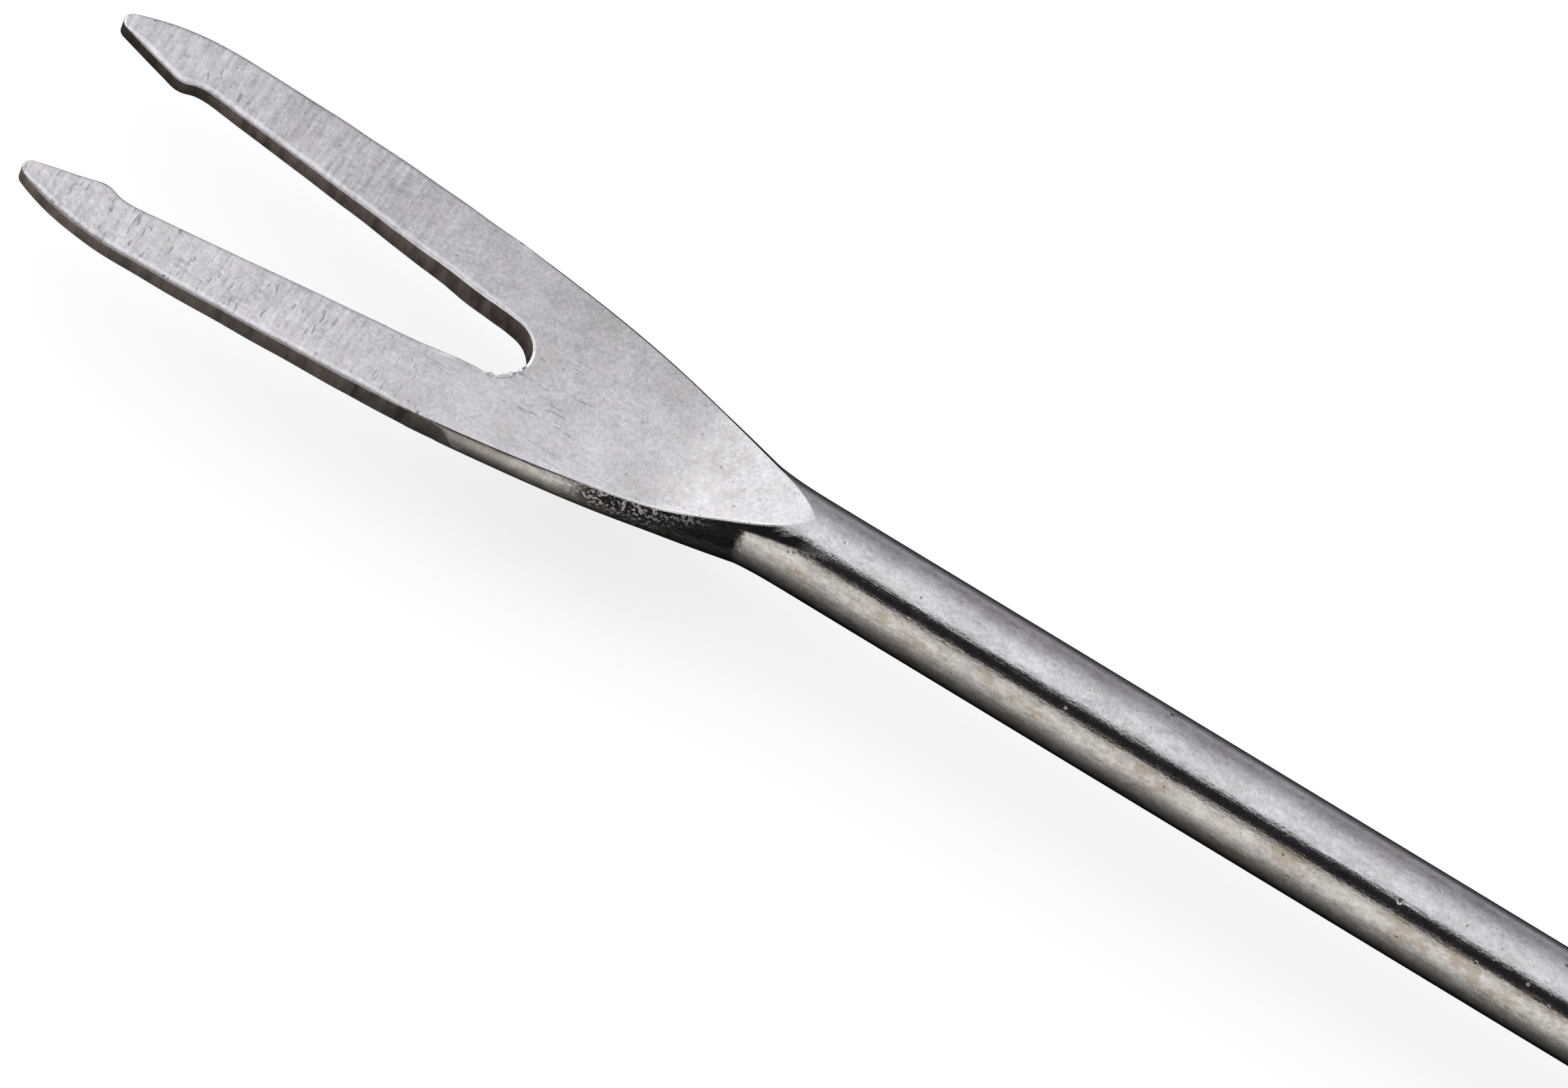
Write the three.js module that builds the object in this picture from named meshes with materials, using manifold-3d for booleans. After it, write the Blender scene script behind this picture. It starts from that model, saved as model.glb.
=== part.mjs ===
// Two-tined fondue fork with barbed tines and a riveted two-scale wooden handle.
// Millimetres, +Z up. The fork lies on the flat of its handle with the tines towards -X,
// and the origin is under the middle of its length.
import * as THREE from 'three';
import { mergeVertices } from 'three/addons/utils/BufferGeometryUtils.js';
import Module from 'manifold-3d';

const wasm = await Module();
wasm.setup();

// Round bar that the head and the tang are pressed from
const rodDiameter = 3.5;
const rodLength = 100; // round bar showing between the head and the handle

// Head, seen from above
const tineLength = 18.35; // tip to crotch
const webLength = 6.6; // crotch to the foot of the ramp
const rampLength = 4.6; // foot of the ramp to the round bar
const headWidth = 9.24; // across both tines at their widest
const widestSetback = 4.4; // tip to the widest place
const tipRadius = 0.33;
const shoulderWidth = 7.76; // across the head where the sheared edges end
const shearSetback = 1.4; // crotch to the end of the sheared edges
const shearOffset = 0.17; // the tines are sheared this far off the bar's middle, towards +Y
const mouthWidth = 4.94; // between the points of the barbs
const crotchRadius = 1.2;
const barbSetback = 2.87; // tip to the point of the barb
const barbLength = 0.75; // point of the barb to the bottom of its notch
const barbDepth = 0.29;
const barbRound = 0.14; // length of edge that is rounded at the barb and at its notch

// Head, seen from the side
const tipThickness = 0.7;
const crotchThickness = 1.14;
const footThickness = 1.56; // at the foot of the ramp

// Shape of the curves, as shares of the stretch that each one spans
const outerFullness = 0.82; // how far the outer edge swells before the widest place
const noseFullness = 0.43; // how far forward the outer edge stays wide before it turns in to the tip
const spreadLead = 0.68; // where the bar's side leaves the shoulder's slope
const spreadEase = 0.32; // where it settles on the round bar

// Tang inside the handle
const tangWidth = 6.2;
const tangThickness = 1.55;
const tangRampLength = 5;
const rodSeat = 8; // round bar held between the scales
const tangToPin = 5; // wood between the end of the tang and the colour pin

// Handle scales
const handleLength = 112;
const handleThickness = 10;
const handleFrontWidth = 11;
const handleWidth = 14; // at the widest place
const handleFlankLength = 15; // straight stretch at the full width
const handleTailLength = 9; // rounded rear end
const handleEdgeRadius = 2.4; // long edges
const handleCornerRadius = 0.6; // front corners of the flat faces
const partingGap = 0.1; // glue line between the scales
const pocketClearance = 0.15;

// Two-piece rivets, a stud pressed into a sleeve
const rivetCount = 3;
const firstRivetSetback = 21; // front end of the handle to the first rivet
const lastRivetSetback = 9; // end of the tang to the last rivet
const rivetHeadDiameter = 5.4;
const rivetHeadThickness = 1.2;
const studDiameter = 2.1;
const sleeveWall = 0.55;
const fitClearance = 0.1;
const studEndGap = 0.6; // free space under the stud in the sleeve's blind bore
const sleeveFloor = 0.5; // metal under that bore, behind the head

// Colour pin that tells one fork of a set from the next
const pinDiameter = 5;
const pinSetback = 10; // rear end of the handle to the middle of the pin

// Fineness of the round forms
const barSides = 40;
const rivetSides = 24;
const curveSteps = 12;
const edgeSteps = 4;

// Stock that is sheared or cut away, and the overrun of a cutting solid
const trimAllowance = 2;
const overrun = 1;

const rodRadius = rodDiameter / 2;
const shearEnd = tineLength - shearSetback;
const rampFoot = tineLength + webLength;
const rampTop = rampFoot + rampLength;
const handleFront = rampTop + rodLength;
const handleRear = handleFront + handleLength;
const tangRampStart = handleFront + rodSeat;
const tangStart = tangRampStart + tangRampLength;
const pinPlace = handleRear - pinSetback;
const barEnd = pinPlace - pinDiameter / 2 - tangToPin;
const sleeveDiameter = studDiameter + 2 * (fitClearance + sleeveWall);
const rivetHeadSeat = handleThickness / 2 - rivetHeadThickness;
const shoulderRadius = Math.hypot(shoulderWidth / 2, crotchThickness / 2);

// A closed geometry as a solid with its faces pointing out
function solidFrom(geometry) {
  const bare = new THREE.BufferGeometry();
  bare.setAttribute('position', geometry.getAttribute('position').clone());
  bare.setIndex(geometry.getIndex());
  const merged = mergeVertices(bare, 1e-5);
  const points = merged.getAttribute('position');
  const index = merged.getIndex().array;
  const triangles = [];
  let volume = 0;
  const [a, b, c] = [new THREE.Vector3(), new THREE.Vector3(), new THREE.Vector3()];
  for (let i = 0; i < index.length; i += 3) {
    const corners = [index[i], index[i + 1], index[i + 2]];
    if (new Set(corners).size < 3) continue;
    [a, b, c].forEach((point, k) => point.fromBufferAttribute(points, corners[k]));
    volume += a.dot(b.cross(c));
    triangles.push(corners);
  }
  const facing = volume < 0 ? triangles.map(([p, q, r]) => [p, r, q]) : triangles;
  return new wasm.Manifold(new wasm.Mesh({
    numProp: 3,
    vertProperties: Float32Array.from(points.array),
    triVerts: Uint32Array.from(facing.flat()),
  }));
}

function meshFrom(name, solid, material) {
  const { vertProperties, triVerts } = solid.getMesh();
  const geometry = new THREE.BufferGeometry();
  geometry.setAttribute('position', new THREE.BufferAttribute(Float32Array.from(vertProperties), 3));
  geometry.setIndex(new THREE.BufferAttribute(Uint32Array.from(triVerts), 1));
  geometry.computeVertexNormals();
  const mesh = new THREE.Mesh(geometry, material);
  mesh.name = name;
  return mesh;
}

// Turned solid about the X axis from a profile of (x, radius) points
function turnedAlongX(profile, sides) {
  const geometry = new THREE.LatheGeometry(profile.map((p) => new THREE.Vector2(p.y, p.x)), sides);
  return solidFrom(geometry.rotateZ(-Math.PI / 2));
}

// Turned solid about a vertical axis at x from a profile of (radius, z) points
function turnedUpright(x, profile, sides) {
  const points = profile.map(([radius, z]) => new THREE.Vector2(radius, z));
  const geometry = new THREE.LatheGeometry(points, sides);
  return solidFrom(geometry.rotateX(Math.PI / 2).translate(x, 0, 0));
}

function uprightCylinder(x, radius, bottom, top) {
  return turnedUpright(x, [[0, bottom], [radius, bottom], [radius, top], [0, top]], rivetSides);
}

function platePrism(outline, height) {
  const shape = new THREE.Shape(outline);
  const geometry = new THREE.ExtrudeGeometry(shape, { depth: height, bevelEnabled: false });
  return solidFrom(geometry.translate(0, 0, -height / 2));
}

// Prism across the fork from an outline of (x, z) points
function sidePrism(outline, width) {
  const shape = new THREE.Shape(outline);
  const geometry = new THREE.ExtrudeGeometry(shape, { depth: width, bevelEnabled: false });
  return solidFrom(geometry.rotateX(Math.PI / 2).translate(0, width / 2, 0));
}

// Angle on a circle where the line from an outside point touches it, side +1 or -1
function touchAngle(centre, radius, point, side) {
  const towards = Math.atan2(point.y - centre.y, point.x - centre.x);
  return towards + side * Math.acos(radius / point.distanceTo(centre));
}

function pointOnCircle(centre, radius, angle) {
  return new THREE.Vector2(centre.x + radius * Math.cos(angle), centre.y + radius * Math.sin(angle));
}

function pointTowards(from, to, distance) {
  return from.clone().add(to.clone().sub(from).setLength(distance));
}

// Bar with its spread head and tang before the tines are sheared, or its pocket when grown
function barSolid(grow) {
  const blankRadius = headWidth / 2 + trimAllowance;
  const spreadLength = rampTop - shearEnd;
  const tangRadius = Math.hypot(tangWidth / 2, tangThickness / 2);
  const spread = new THREE.CubicBezierCurve(
    new THREE.Vector2(shearEnd, shoulderRadius),
    new THREE.Vector2(shearEnd + spreadLead * spreadLength, (shoulderRadius + rodRadius) / 2),
    new THREE.Vector2(rampTop - spreadEase * spreadLength, rodRadius),
    new THREE.Vector2(rampTop, rodRadius),
  );
  const tangSpread = new THREE.CubicBezierCurve(
    new THREE.Vector2(tangRampStart, rodRadius),
    new THREE.Vector2(tangRampStart + tangRampLength / 2, rodRadius),
    new THREE.Vector2(tangStart - tangRampLength / 2, tangRadius),
    new THREE.Vector2(tangStart, tangRadius),
  );
  const tail = new THREE.Path();
  tail.absarc(barEnd - tangRadius, 0, tangRadius, Math.PI / 2, 0, true);
  const side = [
    new THREE.Vector2(-overrun, blankRadius),
    ...spread.getPoints(curveSteps),
    ...tangSpread.getPoints(curveSteps),
    ...tail.getPoints(curveSteps).slice(0, -1),
  ];
  const profile = [
    new THREE.Vector2(-overrun, 0),
    ...side.map((p) => new THREE.Vector2(p.x, p.y + grow)),
    new THREE.Vector2(barEnd + grow, 0),
  ];

  // Upper line of the flats: tines, web, ramp, clear of the round bar, then the tang
  const rampRun = rampLength / (rodRadius - footThickness / 2);
  const tangRun = tangRampLength / (rodRadius - tangThickness / 2);
  const upper = [
    new THREE.Vector2(-2 * overrun, tipThickness / 2),
    new THREE.Vector2(0, tipThickness / 2),
    new THREE.Vector2(tineLength, crotchThickness / 2),
    new THREE.Vector2(rampFoot, footThickness / 2),
    new THREE.Vector2(rampTop + rampRun * overrun, rodRadius + overrun),
    new THREE.Vector2(tangRampStart - tangRun * overrun, rodRadius + overrun),
    new THREE.Vector2(tangStart, tangThickness / 2),
    new THREE.Vector2(barEnd + grow + overrun, tangThickness / 2),
  ].map((p) => new THREE.Vector2(p.x, p.y + grow));
  const lower = upper.map((p) => new THREE.Vector2(p.x, -p.y)).reverse();
  const flats = sidePrism([...upper, ...lower], headWidth + tangWidth + 2 * trimAllowance);
  return turnedAlongX(profile, barSides).intersect(flats);
}

// Edge of the upper tine, from the shoulder round the tip and the barb to the crotch
function tineEdge() {
  const nose = new THREE.Vector2(tipRadius, (mouthWidth + headWidth) / 4);
  const bend = new THREE.Vector2(noseFullness * widestSetback, headWidth / 2);
  const barb = new THREE.Vector2(barbSetback, mouthWidth / 2);
  const notch = new THREE.Vector2(barbSetback + barbLength, mouthWidth / 2 + barbDepth);
  const crotch = new THREE.Vector2(tineLength - crotchRadius, 0);
  const outerTouch = touchAngle(nose, tipRadius, bend, 1);
  const innerTouch = touchAngle(nose, tipRadius, barb, -1) + 2 * Math.PI;
  const crotchTouch = touchAngle(crotch, crotchRadius, notch, -1);
  const noseStart = pointOnCircle(nose, tipRadius, outerTouch);
  const noseEnd = pointOnCircle(nose, tipRadius, innerTouch);
  const crotchStart = pointOnCircle(crotch, crotchRadius, crotchTouch);
  const beforeBarb = pointTowards(barb, noseEnd, barbRound);
  const afterBarb = pointTowards(barb, notch, barbRound);
  const beforeNotch = pointTowards(notch, barb, barbRound);
  const afterNotch = pointTowards(notch, crotchStart, 2 * barbRound);
  const swell = THREE.MathUtils.lerp(shoulderWidth, headWidth, outerFullness) / 2;

  const edge = new THREE.Path();
  edge.moveTo(shearEnd, shoulderWidth / 2);
  edge.quadraticCurveTo((shearEnd + widestSetback) / 2, swell, widestSetback, headWidth / 2);
  edge.quadraticCurveTo(bend.x, bend.y, noseStart.x, noseStart.y);
  edge.absarc(nose.x, nose.y, tipRadius, outerTouch, innerTouch, false);
  edge.lineTo(beforeBarb.x, beforeBarb.y);
  edge.quadraticCurveTo(barb.x, barb.y, afterBarb.x, afterBarb.y);
  edge.lineTo(beforeNotch.x, beforeNotch.y);
  edge.quadraticCurveTo(notch.x, notch.y, afterNotch.x, afterNotch.y);
  edge.lineTo(crotchStart.x, crotchStart.y);
  edge.absarc(crotch.x, crotch.y, crotchRadius, crotchTouch, 0, true);
  return edge.getPoints(curveSteps / 2);
}

// Prism that shears the tines out of the spread bar and leaves the rest of it whole
function shearSolid() {
  const clear = (headWidth + tangWidth) / 2 + overrun;
  const rear = barEnd + overrun;
  const half = [
    new THREE.Vector2(rear, clear),
    new THREE.Vector2(rampTop, clear),
    new THREE.Vector2(rampTop, shoulderWidth / 2),
    ...tineEdge(),
  ];
  const other = half.slice(0, -1).map((p) => new THREE.Vector2(p.x, -p.y)).reverse();
  return platePrism([...half, ...other], rodDiameter + headWidth).translate(0, shearOffset, 0);
}

function rivetPlaces() {
  const first = handleFront + firstRivetSetback;
  const spacing = (barEnd - lastRivetSetback - first) / (rivetCount - 1);
  return Array.from({ length: rivetCount }, (_, i) => first + i * spacing);
}

function forkRod() {
  const holeRadius = sleeveDiameter / 2 + fitClearance;
  const holes = rivetPlaces().map((x) => uprightCylinder(x, holeRadius, -tangThickness, tangThickness));
  return holes.reduce((bar, hole) => bar.subtract(hole), barSolid(0).intersect(shearSolid()));
}

// Both scales in one piece: waisted front, fuller rear, rounded tail and long edges
function handleBlank() {
  const front = handleFront;
  const frontHalf = handleFrontWidth / 2;
  const rearHalf = handleWidth / 2;
  const corner = handleEdgeRadius + handleCornerRadius;
  const tail = handleRear - handleTailLength;
  const widest = tail - handleFlankLength;
  const lead = (widest - front) / 2;
  const outline = new THREE.Shape();
  outline.moveTo(front, -frontHalf + corner);
  outline.absarc(front + corner, -frontHalf + corner, corner, Math.PI, 1.5 * Math.PI, false);
  outline.bezierCurveTo(front + lead, -frontHalf, widest - lead, -rearHalf, widest, -rearHalf);
  outline.lineTo(tail, -rearHalf);
  outline.absellipse(tail, 0, handleTailLength, rearHalf, -Math.PI / 2, Math.PI / 2, false);
  outline.lineTo(widest, rearHalf);
  outline.bezierCurveTo(widest - lead, rearHalf, front + lead, frontHalf, front + corner, frontHalf);
  outline.absarc(front + corner, frontHalf - corner, corner, Math.PI / 2, Math.PI, false);
  const geometry = new THREE.ExtrudeGeometry(outline, {
    depth: handleThickness - 2 * handleEdgeRadius,
    bevelThickness: handleEdgeRadius,
    bevelSize: handleEdgeRadius,
    bevelOffset: -handleEdgeRadius,
    bevelSegments: edgeSteps,
    curveSegments: curveSteps,
  });
  return solidFrom(geometry.translate(0, 0, handleEdgeRadius - handleThickness / 2));
}

// One scale, side +1 above the tang or -1 below it
function handleScale(side) {
  const half = handleThickness / 2;
  const seat = half - rivetHeadThickness - fitClearance;
  const keepHeight = half + overrun - partingGap / 2;
  const keep = new THREE.BoxGeometry(handleLength + 2 * overrun, handleWidth + 2 * overrun, keepHeight);
  keep.translate(handleFront + handleLength / 2, 0, side * (partingGap + keepHeight) / 2);
  const span = (from, to) => [Math.min(side * from, side * to), Math.max(side * from, side * to)];
  const cuts = [barSolid(pocketClearance)];
  for (const x of rivetPlaces()) {
    cuts.push(uprightCylinder(x, sleeveDiameter / 2 + fitClearance, ...span(-overrun, half)));
    cuts.push(uprightCylinder(x, rivetHeadDiameter / 2 + fitClearance, ...span(seat, half + overrun)));
  }
  const pinRadius = pinDiameter / 2 + fitClearance;
  cuts.push(uprightCylinder(pinPlace, pinRadius, ...span(-overrun, half + overrun)));
  return cuts.reduce((scale, cut) => scale.subtract(cut), handleBlank().intersect(solidFrom(keep)));
}

function rivetStud(x) {
  const top = handleThickness / 2;
  const end = -top + sleeveFloor + studEndGap;
  const profile = [
    [0, end],
    [studDiameter / 2, end],
    [studDiameter / 2, rivetHeadSeat],
    [rivetHeadDiameter / 2, rivetHeadSeat],
    [rivetHeadDiameter / 2, top],
    [0, top],
  ];
  return turnedUpright(x, profile, rivetSides);
}

function rivetSleeve(x) {
  const bottom = -handleThickness / 2;
  const top = rivetHeadSeat - fitClearance;
  const boreRadius = studDiameter / 2 + fitClearance;
  const profile = [
    [0, bottom],
    [rivetHeadDiameter / 2, bottom],
    [rivetHeadDiameter / 2, -rivetHeadSeat],
    [sleeveDiameter / 2, -rivetHeadSeat],
    [sleeveDiameter / 2, top],
    [boreRadius, top],
    [boreRadius, bottom + sleeveFloor],
    [0, bottom + sleeveFloor],
  ];
  return turnedUpright(x, profile, rivetSides);
}

function colourPin() {
  const half = handleThickness / 2;
  return uprightCylinder(pinPlace, pinDiameter / 2, -half, half);
}

const steel = new THREE.MeshStandardMaterial({ color: 0xc3c3c9, roughness: 0.38, metalness: 1 });
const wood = new THREE.MeshStandardMaterial({ color: 0x6f4527, roughness: 0.55, metalness: 0 });
const brass = new THREE.MeshStandardMaterial({ color: 0xc8a552, roughness: 0.35, metalness: 1 });
const redPlastic = new THREE.MeshStandardMaterial({ color: 0xa81f1c, roughness: 0.4, metalness: 0 });

const fork = new THREE.Group();
fork.position.set(-handleRear / 2, 0, handleThickness / 2);
fork.add(meshFrom('fork_rod', forkRod(), steel));
fork.add(meshFrom('upper_scale', handleScale(1), wood));
fork.add(meshFrom('lower_scale', handleScale(-1), wood));
rivetPlaces().forEach((x, i) => {
  fork.add(meshFrom(`rivet_${i + 1}_stud`, rivetStud(x), brass));
  fork.add(meshFrom(`rivet_${i + 1}_sleeve`, rivetSleeve(x), brass));
});
fork.add(meshFrom('colour_pin', colourPin(), redPlastic));

export default fork;
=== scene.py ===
import math

import bmesh
import bpy
from mathutils import Matrix, Vector, noise
from mathutils.geometry import interpolate_bezier, intersect_point_line


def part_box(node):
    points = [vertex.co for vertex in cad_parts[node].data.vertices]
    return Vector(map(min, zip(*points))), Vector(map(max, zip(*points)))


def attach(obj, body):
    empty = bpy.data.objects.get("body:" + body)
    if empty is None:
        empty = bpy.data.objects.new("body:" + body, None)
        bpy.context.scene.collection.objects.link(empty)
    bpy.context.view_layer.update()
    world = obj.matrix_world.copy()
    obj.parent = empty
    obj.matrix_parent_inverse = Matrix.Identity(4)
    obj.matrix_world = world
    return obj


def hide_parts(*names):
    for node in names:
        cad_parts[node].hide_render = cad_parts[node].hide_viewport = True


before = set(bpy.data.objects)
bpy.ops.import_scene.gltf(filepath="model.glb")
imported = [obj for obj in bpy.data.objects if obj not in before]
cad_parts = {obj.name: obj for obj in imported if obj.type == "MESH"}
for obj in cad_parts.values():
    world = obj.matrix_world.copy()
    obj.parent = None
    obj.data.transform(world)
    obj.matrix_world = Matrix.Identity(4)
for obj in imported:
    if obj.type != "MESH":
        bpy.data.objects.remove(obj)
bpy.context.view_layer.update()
print("frame loaded:", ", ".join(sorted(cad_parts)))

# Pieces are drawn in millimetres from the tips and the middle of the bar
perMetre = 1000
mergeGap = 1e-4
barLow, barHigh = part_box("fork_rod")
tipPlace = Vector((barLow.x, 0, (barLow.z + barHigh.z) / 2))
toFrame = Matrix.Translation(tipPlace) @ Matrix.Scale(1 / perMetre, 4)
scene = bpy.context.scene


# Small helpers

def ease(value, low, high):
    share = min(max((value - low) / (high - low), 0), 1)
    return share * share * (3 - 2 * share)


def softKink(run, softness):  # 0 before the kink, run after it, rounded between
    share = run / softness
    return softness * (max(share, 0) + math.log1p(math.exp(-abs(share))))


def curvePoints(start, control, end, steps):
    a, c, b = (Vector((*p, 0)) for p in (start, control, end))
    points = interpolate_bezier(a, a + (c - a) * 2 / 3, b + (c - b) * 2 / 3, b, steps + 1)
    return [(p.x, p.y) for p in points]


def linePoints(start, end, steps):
    return [(start[0] + (end[0] - start[0]) * i / steps, start[1] + (end[1] - start[1]) * i / steps)
            for i in range(steps + 1)]


def arcPoints(centre, radius, first, last, steps):
    turns = [first + (last - first) * i / steps for i in range(steps + 1)]
    return [(centre[0] + radius * math.cos(a), centre[1] + radius * math.sin(a)) for a in turns]


def touchAngle(centre, radius, point, side):  # where a line from the point touches the circle
    away = Vector(point) - Vector(centre)
    return math.atan2(away.y, away.x) + side * math.acos(radius / away.length)


def pointTowards(start, end, distance):
    way = Vector(end) - Vector(start)
    return tuple(Vector(start) + way * (distance / way.length))


def sheetObject(bm, name):
    mesh = bpy.data.meshes.new(name)
    bm.to_mesh(mesh)
    bm.free()
    piece = bpy.data.objects.new(name, mesh)
    scene.collection.objects.link(piece)
    return piece


def carve(bm, tool, operation):  # boolean of two closed shapes, given back as a new bmesh
    body, cutter = sheetObject(bm, "blank"), sheetObject(tool, "tool")
    change = body.modifiers.new("carve", "BOOLEAN")
    change.operation = operation
    change.solver = "EXACT"
    change.object = cutter
    graph = bpy.context.evaluated_depsgraph_get()
    mesh = bpy.data.meshes.new_from_object(body.evaluated_get(graph))
    result = bmesh.new()
    result.from_mesh(mesh)
    for used in (body, cutter):
        bpy.data.meshes.remove(used.data)
    bpy.data.meshes.remove(mesh)
    return result


def prism(outline, bottom, top):
    bm = bmesh.new()
    corners = [bm.verts.new((x, y, bottom)) for x, y in outline]
    sides = [bm.edges.new(pair) for pair in zip(corners, corners[1:] + corners[:1])]
    base = bmesh.ops.edgeloop_fill(bm, edges=sides)["faces"]
    raised = bmesh.ops.extrude_face_region(bm, geom=base)["geom"]
    lifted = [g for g in raised if isinstance(g, bmesh.types.BMVert)]
    bmesh.ops.translate(bm, verts=lifted, vec=(0, 0, top - bottom))
    bmesh.ops.recalc_face_normals(bm, faces=bm.faces)
    return bm


def turned(x, profile, steps):  # (radius, height) points turned about an upright axis
    bm = bmesh.new()
    line = [bm.verts.new((x + radius, 0, z)) for radius, z in profile]
    edges = [bm.edges.new(pair) for pair in zip(line, line[1:])]
    bmesh.ops.spin(bm, geom=line + edges, cent=(x, 0, 0), axis=(0, 0, 1), angle=math.tau,
                   steps=steps, use_merge=True)
    bmesh.ops.remove_doubles(bm, verts=bm.verts, dist=mergeGap)
    bmesh.ops.recalc_face_normals(bm, faces=bm.faces)
    return bm


def finishPiece(bm, name, node, finish):
    bmesh.ops.transform(bm, matrix=toFrame, verts=bm.verts)
    piece = sheetObject(bm, name)
    piece.data.shade_smooth()
    piece.data.materials.append(finish)
    weights = piece.modifiers.new("evenNormals", "WEIGHTED_NORMAL")
    weights.mode = "FACE_AREA"
    weights.keep_sharp = True
    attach(piece, "root")
    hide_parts(node)
    return piece


# Shader wires

class Wire:
    def __init__(self, socket):
        self.socket = socket

    def node(self, kind, settings, links, out=0):
        tree = self.socket.id_data
        item = tree.nodes.new(kind)
        for name, value in settings.items():
            if name == "stops":
                spots = item.color_ramp.elements
                while len(spots) < len(value):
                    spots.new(1)
                for spot, (place, colour) in zip(spots, value):
                    spot.position = place
                    spot.color = (*colour, 1)
            else:
                setattr(item, name, value)
        for name, value in links.items():
            if isinstance(value, Wire):
                tree.links.new(value.socket, item.inputs[name])
            else:
                item.inputs[name].default_value = value
        return Wire(item.outputs[out])

    def math(self, operation, first, second):
        return self.node("ShaderNodeMath", {"operation": operation}, {0: first, 1: second})

    def __add__(self, other):
        return self.math("ADD", self, other)

    def __radd__(self, other):
        return self.math("ADD", other, self)

    def __sub__(self, other):
        return self.math("SUBTRACT", self, other)

    def __rsub__(self, other):
        return self.math("SUBTRACT", other, self)

    def __mul__(self, other):
        return self.math("MULTIPLY", self, other)

    def __rmul__(self, other):
        return self.math("MULTIPLY", other, self)

    def __truediv__(self, other):
        return self.math("DIVIDE", self, other)

    def __rtruediv__(self, other):
        return self.math("DIVIDE", other, self)


def between(value, low, high):  # 0 below low, 1 above high, smooth between
    return value.node("ShaderNodeMapRange", {"interpolation_type": "SMOOTHSTEP"},
                      {"Value": value, "From Min": low, "From Max": high})


def window(value, start, rise, fall, end):
    return between(value, start, rise) * (1 - between(value, fall, end))


def highest(first, second):
    return first.math("MAXIMUM", first, second)


def blended(share, first, second):  # two colours
    return share.node("ShaderNodeMix", {"data_type": "RGBA"}, {0: share, 6: first, 7: second}, 2)


def stretched(where, scale, turn=(0, 0, 0)):
    return where.node("ShaderNodeMapping", {}, {"Vector": where, "Scale": scale, "Rotation": turn})


def axes(where):
    return [where.node("ShaderNodeSeparateXYZ", {}, {"Vector": where}, number) for number in range(3)]


def cloud(where, size=1, detail=2, rough=0.5, twist=0):  # soft noise with marks of that size
    return where.node("ShaderNodeTexNoise", {},
                      {"Vector": where, "Scale": 1 / size, "Detail": detail, "Roughness": rough,
                       "Distortion": twist})


def newFinish(name):
    finish = bpy.data.materials.new(name)
    finish.use_nodes = True
    shader = finish.node_tree.nodes["Principled BSDF"]
    coords = finish.node_tree.nodes.new("ShaderNodeTexCoord").outputs["Object"]
    where = Wire(coords)
    where = where.node("ShaderNodeMapping", {},
                       {"Vector": where, "Scale": [perMetre] * 3, "Location": -perMetre * tipPlace})
    return finish, shader, where


def plug(wire, shader, name):
    wire.socket.id_data.links.new(wire.socket, shader.inputs[name])


def plugBump(height, shader):  # height in millimetres
    raised = height.node("ShaderNodeBump", {}, {"Strength": 1, "Distance": 1 / perMetre, "Height": height})
    plug(raised, shader, "Normal")


# Steel: pressed flats, sheared walls and drawn bar, told apart by the piece's own attributes

steelLook = dict(
    lightSteel=(0.88, 0.875, 0.89, 1),
    darkSteel=(0.38, 0.375, 0.385, 1),
    # bright colour of worn edges, also a painted highlight on the edges that face the front
    worn=(0.93, 0.925, 0.915, 1),
    stain=(0.43, 0.37, 0.29, 1),
    flush=(0.66, 0.585, 0.60, 1),
    # dark pits, also used for the painted shade on the lower front sides
    pitAndShade=(0.13, 0.115, 0.105, 1),
    # near-black of the scale, which also serves as a painted dark reflection on the sides and along the bar
    scale=(0.016, 0.0155, 0.0165, 1),
    wallLight=(0.33, 0.275, 0.25, 1),
    wallDark=(0.125, 0.101, 0.091, 1),
    # tear marks, also used for the painted shade on the walls
    tearAndShade=(0.03, 0.026, 0.023, 1),
    flatRoughness=0.33,
    barRoughness=0.055,
    wallRoughness=0.52,
    wornRoughness=0.24,
    wallMetal=0.3,               # torn walls are dull, so only partly mirror-like
    crown=0.010,                 # the dies left the flats slightly crowned
    grindTurn=(0, 0, 0.2),       # directions of the grinding and of the scratches
    longTurn=(0, 0, 0.95),
    shortTurn=(0, 0, -0.3),
    tipsEnd=(3, 7),              # places along the bar, in millimetres from the tips
    noseEnd=(3.4, 4.6),
    tinesEnd=(10, 18),
    dimSpan=(2, 11, 23, 25.5),
    tearSpan=(9, 14, 17.6, 18),
    shadeStart=(12, 16),
    webSpan=(16.5, 19, 23, 25.5),
    scuffSpan=(17.8, 18.8, 20.6, 21.8),
    footSpan=(22, 24.5, 26, 28.5),
    sideShadeFade=(18, 21),
    sideShadeEnd=(25, 27.5),
    scaleAndReflectionStart=(22.3, 24.3),
    scaleAndReflectionClosed=(24.2, 26.2),
    scaleAndReflectionEnd=(27.7, 28.1),
    tailStart=28.5,
    tailEnd=(29.5, 32),
    outerWall=(-3.2, -2.8),      # places across it
    scuffWidth=(-2.6, -1.8, 0.8, 1.6),
    topSide=(-1.2, -0.7),
    middle=(-0.2, 0.2),
    upperNose=(2, 2.4),
    sideShadeTop=(-0.5, 0),          # heights over its middle
    startRise=(-0.35, 0.45),
    scaleAndReflectionRise=(-0.05, 0.45),
    closedRise=(0.5, 0.9),
    tailLow=(1.14, 1.24),
    tailHigh=(1.54, 1.6),
    tailSlope=0.12,
)


def marks(where, scale, pick, spot):  # scattered dots, in some cells of a Voronoi
    cells = stretched(where, scale)
    gap = cells.node("ShaderNodeTexVoronoi", {}, {"Vector": cells, "Scale": 1})
    tint = cells.node("ShaderNodeTexVoronoi", {}, {"Vector": cells, "Scale": 1}, 1)
    chance = tint.node("ShaderNodeSeparateColor", {}, {"Color": tint})
    return (1 - between(gap, *spot)) * between(chance, *pick)


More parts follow.
